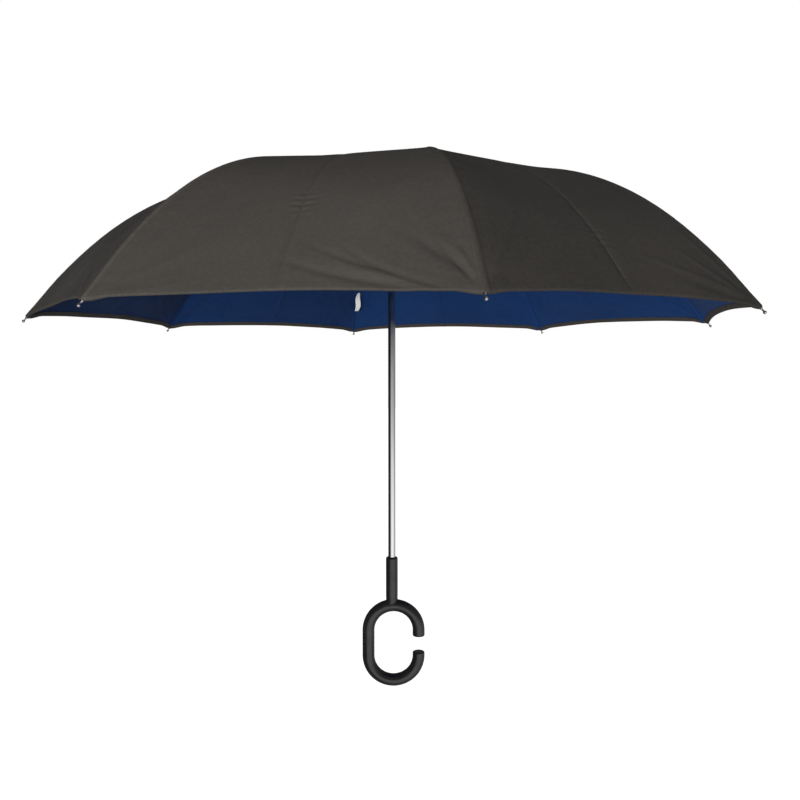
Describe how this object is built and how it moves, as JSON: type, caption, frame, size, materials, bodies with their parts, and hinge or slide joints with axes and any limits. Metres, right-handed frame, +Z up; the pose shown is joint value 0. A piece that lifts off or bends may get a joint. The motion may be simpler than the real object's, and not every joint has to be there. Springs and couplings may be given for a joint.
{
  "type": "stick umbrella",
  "caption": "Reverse-folding stick umbrella: double canopy on ribs and stretchers, runner on a steel shaft, C-shaped handle.",
  "frame": {"origin": "on the shaft's axis, level with the lowest point of the handle", "axes": "+Z up the shaft towards the crown, +X towards the open mouth of the C-shaped handle, the C lies in the XZ plane"},
  "size_m": [1.0354, 1.0354, 0.8113],
  "materials": {
    "outer_cloth": "woven charcoal-black cloth",
    "inner_cloth": "woven navy-blue cloth",
    "handle_plastic": "satin black",
    "hub_plastic": "satin black",
    "polished_steel": "polished",
    "rib_steel": "black coated",
    "glass_fibre": "black fibreglass rod",
    "label_cloth": "plain white tape"
  },
  "bodies": {
    "frame": {"handle": "handle_plastic", "shaft": "polished_steel", "top_notch": "hub_plastic", "notch_wire": "polished_steel", "ferrule_cap": "hub_plastic", "notch_pin": "polished_steel"},
    "catch": {"catch_spring": "polished_steel"},
    "runner": {"runner": "hub_plastic", "runner_wire": "polished_steel", "canopy_collar": "hub_plastic"},
    "inner_rib_1": {"rib_inner_1": "rib_steel"},
    "outer_rib_1": {"rib_outer_1": "glass_fibre", "rib_tip_1": "polished_steel", "outer_canopy_1": "outer_cloth", "inner_canopy_1": "inner_cloth"},
    "stretcher_arm_1": {"stretcher_1": "rib_steel"},
    "inner_rib_2": {"rib_inner_2": "rib_steel"},
    "outer_rib_2": {"rib_outer_2": "glass_fibre", "rib_tip_2": "polished_steel", "outer_canopy_2": "outer_cloth", "inner_canopy_2": "inner_cloth"},
    "stretcher_arm_2": {"stretcher_2": "rib_steel"},
    "inner_rib_3": {"rib_inner_3": "rib_steel"},
    "outer_rib_3": {"rib_outer_3": "glass_fibre", "rib_tip_3": "polished_steel", "outer_canopy_3": "outer_cloth", "inner_canopy_3": "inner_cloth", "closure_strap": "inner_cloth"},
    "stretcher_arm_3": {"stretcher_3": "rib_steel"},
    "inner_rib_4": {"rib_inner_4": "rib_steel"},
    "outer_rib_4": {"rib_outer_4": "glass_fibre", "rib_tip_4": "polished_steel", "outer_canopy_4": "outer_cloth", "inner_canopy_4": "inner_cloth"},
    "stretcher_arm_4": {"stretcher_4": "rib_steel"},
    "inner_rib_5": {"rib_inner_5": "rib_steel"},
    "outer_rib_5": {"rib_outer_5": "glass_fibre", "rib_tip_5": "polished_steel", "outer_canopy_5": "outer_cloth", "inner_canopy_5": "inner_cloth", "care_label": "label_cloth"},
    "stretcher_arm_5": {"stretcher_5": "rib_steel"},
    "inner_rib_6": {"rib_inner_6": "rib_steel"},
    "outer_rib_6": {"rib_outer_6": "glass_fibre", "rib_tip_6": "polished_steel", "outer_canopy_6": "outer_cloth", "inner_canopy_6": "inner_cloth"},
    "stretcher_arm_6": {"stretcher_6": "rib_steel"},
    "inner_rib_7": {"rib_inner_7": "rib_steel"},
    "outer_rib_7": {"rib_outer_7": "glass_fibre", "rib_tip_7": "polished_steel", "outer_canopy_7": "outer_cloth", "inner_canopy_7": "inner_cloth"},
    "stretcher_arm_7": {"stretcher_7": "rib_steel"},
    "inner_rib_8": {"rib_inner_8": "rib_steel"},
    "outer_rib_8": {"rib_outer_8": "glass_fibre", "rib_tip_8": "polished_steel", "outer_canopy_8": "outer_cloth", "inner_canopy_8": "inner_cloth"},
    "stretcher_arm_8": {"stretcher_8": "rib_steel"}
  },
  "joints": [
    {"name": "runner_slide", "type": "slide", "parent": "frame", "child": "runner", "axis": [0, 0, -1], "range_m": [0, 0.46025], "deforming": ["catch_spring", "outer_canopy_1", "outer_canopy_2", "outer_canopy_3", "outer_canopy_4", "outer_canopy_5", "outer_canopy_6", "outer_canopy_7", "outer_canopy_8", "inner_canopy_1", "inner_canopy_2", "inner_canopy_3", "inner_canopy_4", "inner_canopy_5", "inner_canopy_6", "inner_canopy_7", "inner_canopy_8"]},
    {"name": "catch_press", "type": "hinge", "parent": "frame", "child": "catch", "pos_m": [0.0032, 0, 0.63534], "axis": [0, -1, 0], "range_deg": [0, 4.5], "stiffness_Nm_per_rad": 4.8},
    {"name": "rib_root_1", "type": "hinge", "parent": "runner", "child": "inner_rib_1", "pos_m": [0.00203, -0.01284, 0.75884], "axis": [-0.9877, -0.1564, 0], "range_deg": [0, 89.97]},
    {"name": "rib_flex_1", "type": "hinge", "parent": "inner_rib_1", "child": "outer_rib_1", "pos_m": [0.05485, -0.34631, 0.71419], "axis": [-0.9877, -0.1564, 0], "range_deg": [0, 44.38]},
    {"name": "stretcher_root_1", "type": "hinge", "parent": "frame", "child": "stretcher_arm_1", "pos_m": [0.00203, -0.01284, 0.79984], "axis": [0.9877, 0.1564, 0], "range_deg": [0, 75.81]},
    {"name": "rib_root_2", "type": "hinge", "parent": "runner", "child": "inner_rib_2", "pos_m": [0.01052, -0.00764, 0.75884], "axis": [-0.5878, -0.809, 0], "range_deg": [0, 89.97]},
    {"name": "rib_flex_2", "type": "hinge", "parent": "inner_rib_2", "child": "outer_rib_2", "pos_m": [0.28366, -0.20609, 0.71419], "axis": [-0.5878, -0.809, 0], "range_deg": [0, 44.38]},
    {"name": "stretcher_root_2", "type": "hinge", "parent": "frame", "child": "stretcher_arm_2", "pos_m": [0.01052, -0.00764, 0.79984], "axis": [0.5878, 0.809, 0], "range_deg": [0, 75.81]},
    {"name": "rib_root_3", "type": "hinge", "parent": "runner", "child": "inner_rib_3", "pos_m": [0.01284, 0.00203, 0.75884], "axis": [0.1564, -0.9877, 0], "range_deg": [0, 89.97]},
    {"name": "rib_flex_3", "type": "hinge", "parent": "inner_rib_3", "child": "outer_rib_3", "pos_m": [0.34631, 0.05485, 0.71419], "axis": [0.1564, -0.9877, 0], "range_deg": [0, 44.38]},
    {"name": "stretcher_root_3", "type": "hinge", "parent": "frame", "child": "stretcher_arm_3", "pos_m": [0.01284, 0.00203, 0.79984], "axis": [-0.1564, 0.9877, 0], "range_deg": [0, 75.81]},
    {"name": "rib_root_4", "type": "hinge", "parent": "runner", "child": "inner_rib_4", "pos_m": [0.00764, 0.01052, 0.75884], "axis": [0.809, -0.5878, 0], "range_deg": [0, 89.97]},
    {"name": "rib_flex_4", "type": "hinge", "parent": "inner_rib_4", "child": "outer_rib_4", "pos_m": [0.20609, 0.28366, 0.71419], "axis": [0.809, -0.5878, 0], "range_deg": [0, 44.38]},
    {"name": "stretcher_root_4", "type": "hinge", "parent": "frame", "child": "stretcher_arm_4", "pos_m": [0.00764, 0.01052, 0.79984], "axis": [-0.809, 0.5878, 0], "range_deg": [0, 75.81]},
    {"name": "rib_root_5", "type": "hinge", "parent": "runner", "child": "inner_rib_5", "pos_m": [-0.00203, 0.01284, 0.75884], "axis": [0.9877, 0.1564, 0], "range_deg": [0, 89.97]},
    {"name": "rib_flex_5", "type": "hinge", "parent": "inner_rib_5", "child": "outer_rib_5", "pos_m": [-0.05485, 0.34631, 0.71419], "axis": [0.9877, 0.1564, 0], "range_deg": [0, 44.38]},
    {"name": "stretcher_root_5", "type": "hinge", "parent": "frame", "child": "stretcher_arm_5", "pos_m": [-0.00203, 0.01284, 0.79984], "axis": [-0.9877, -0.1564, 0], "range_deg": [0, 75.81]},
    {"name": "rib_root_6", "type": "hinge", "parent": "runner", "child": "inner_rib_6", "pos_m": [-0.01052, 0.00764, 0.75884], "axis": [0.5878, 0.809, 0], "range_deg": [0, 89.97]},
    {"name": "rib_flex_6", "type": "hinge", "parent": "inner_rib_6", "child": "outer_rib_6", "pos_m": [-0.28366, 0.20609, 0.71419], "axis": [0.5878, 0.809, 0], "range_deg": [0, 44.38]},
    {"name": "stretcher_root_6", "type": "hinge", "parent": "frame", "child": "stretcher_arm_6", "pos_m": [-0.01052, 0.00764, 0.79984], "axis": [-0.5878, -0.809, 0], "range_deg": [0, 75.81]},
    {"name": "rib_root_7", "type": "hinge", "parent": "runner", "child": "inner_rib_7", "pos_m": [-0.01284, -0.00203, 0.75884], "axis": [-0.1564, 0.9877, 0], "range_deg": [0, 89.97]},
    {"name": "rib_flex_7", "type": "hinge", "parent": "inner_rib_7", "child": "outer_rib_7", "pos_m": [-0.34631, -0.05485, 0.71419], "axis": [-0.1564, 0.9877, 0], "range_deg": [0, 44.38]},
    {"name": "stretcher_root_7", "type": "hinge", "parent": "frame", "child": "stretcher_arm_7", "pos_m": [-0.01284, -0.00203, 0.79984], "axis": [0.1564, -0.9877, 0], "range_deg": [0, 75.81]},
    {"name": "rib_root_8", "type": "hinge", "parent": "runner", "child": "inner_rib_8", "pos_m": [-0.00764, -0.01052, 0.75884], "axis": [-0.809, 0.5878, 0], "range_deg": [0, 89.97]},
    {"name": "rib_flex_8", "type": "hinge", "parent": "inner_rib_8", "child": "outer_rib_8", "pos_m": [-0.20609, -0.28366, 0.71419], "axis": [-0.809, 0.5878, 0], "range_deg": [0, 44.38]},
    {"name": "stretcher_root_8", "type": "hinge", "parent": "frame", "child": "stretcher_arm_8", "pos_m": [-0.00764, -0.01052, 0.79984], "axis": [0.809, -0.5878, 0], "range_deg": [0, 75.81]}
  ],
  "couplings": [
    {"joint": "rib_root_1", "follows": "runner_slide", "rad_per_m": 3.4112},
    {"joint": "rib_flex_1", "follows": "runner_slide", "rad_per_m": 1.6824},
    {"joint": "stretcher_root_1", "follows": "runner_slide", "rad_per_m": 2.8742},
    {"joint": "rib_root_2", "follows": "runner_slide", "rad_per_m": 3.4112},
    {"joint": "rib_flex_2", "follows": "runner_slide", "rad_per_m": 1.6824},
    {"joint": "stretcher_root_2", "follows": "runner_slide", "rad_per_m": 2.8742},
    {"joint": "rib_root_3", "follows": "runner_slide", "rad_per_m": 3.4112},
    {"joint": "rib_flex_3", "follows": "runner_slide", "rad_per_m": 1.6824},
    {"joint": "stretcher_root_3", "follows": "runner_slide", "rad_per_m": 2.8742},
    {"joint": "rib_root_4", "follows": "runner_slide", "rad_per_m": 3.4112},
    {"joint": "rib_flex_4", "follows": "runner_slide", "rad_per_m": 1.6824},
    {"joint": "stretcher_root_4", "follows": "runner_slide", "rad_per_m": 2.8742},
    {"joint": "rib_root_5", "follows": "runner_slide", "rad_per_m": 3.4112},
    {"joint": "rib_flex_5", "follows": "runner_slide", "rad_per_m": 1.6824},
    {"joint": "stretcher_root_5", "follows": "runner_slide", "rad_per_m": 2.8742},
    {"joint": "rib_root_6", "follows": "runner_slide", "rad_per_m": 3.4112},
    {"joint": "rib_flex_6", "follows": "runner_slide", "rad_per_m": 1.6824},
    {"joint": "stretcher_root_6", "follows": "runner_slide", "rad_per_m": 2.8742},
    {"joint": "rib_root_7", "follows": "runner_slide", "rad_per_m": 3.4112},
    {"joint": "rib_flex_7", "follows": "runner_slide", "rad_per_m": 1.6824},
    {"joint": "stretcher_root_7", "follows": "runner_slide", "rad_per_m": 2.8742},
    {"joint": "rib_root_8", "follows": "runner_slide", "rad_per_m": 3.4112},
    {"joint": "rib_flex_8", "follows": "runner_slide", "rad_per_m": 1.6824},
    {"joint": "stretcher_root_8", "follows": "runner_slide", "rad_per_m": 2.8742}
  ]
}
